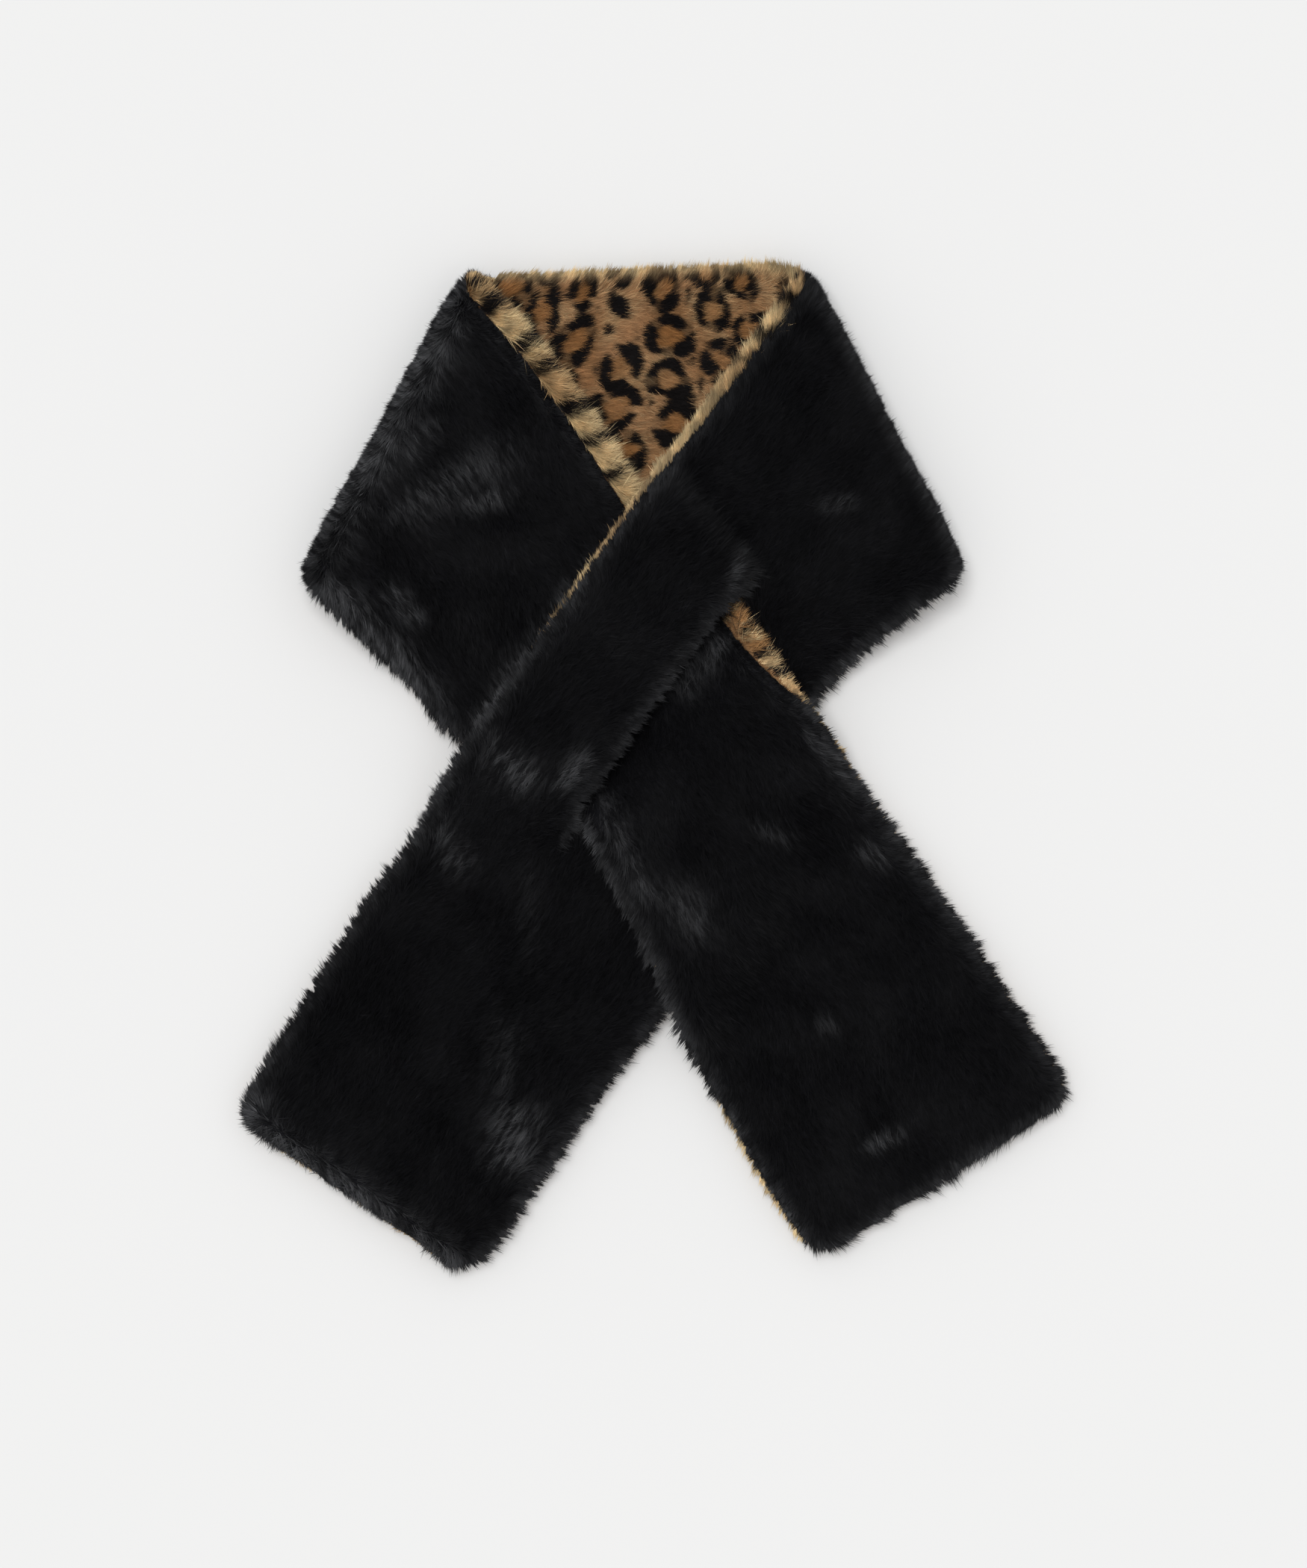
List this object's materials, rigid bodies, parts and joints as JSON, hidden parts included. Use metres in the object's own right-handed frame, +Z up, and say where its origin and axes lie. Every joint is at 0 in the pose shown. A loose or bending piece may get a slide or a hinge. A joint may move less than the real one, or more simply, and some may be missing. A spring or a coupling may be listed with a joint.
{
  "type": "fur collar wrap",
  "caption": "Reversible plush collar wrap laid flat, black on one face and leopard print on the other, with one end drawn through a slit in the other",
  "frame": {"origin": "on the surface it lies on, under the middle of the footprint's bounding box", "axes": "+Z up off the surface, +Y towards the neck stretch, +X to the right seen from above with the neck stretch at the top"},
  "size_m": [0.4048, 0.49, 0.0506],
  "materials": {
    "black_plush": "dense black faux-fur plush with a soft grey sheen along the rolled edges",
    "leopard_plush": "short tan faux-fur plush with a leopard print in dark brown"
  },
  "bodies": {
    "root": {"neck_black": "black_plush", "neck_leopard": "leopard_plush", "left_arm_black": "black_plush", "left_arm_leopard": "leopard_plush", "right_arm_black": "black_plush", "right_arm_leopard": "leopard_plush", "left_tail_black": "black_plush", "left_tail_leopard": "leopard_plush", "right_tail_black": "black_plush", "right_tail_leopard": "leopard_plush"}
  },
  "joints": []
}
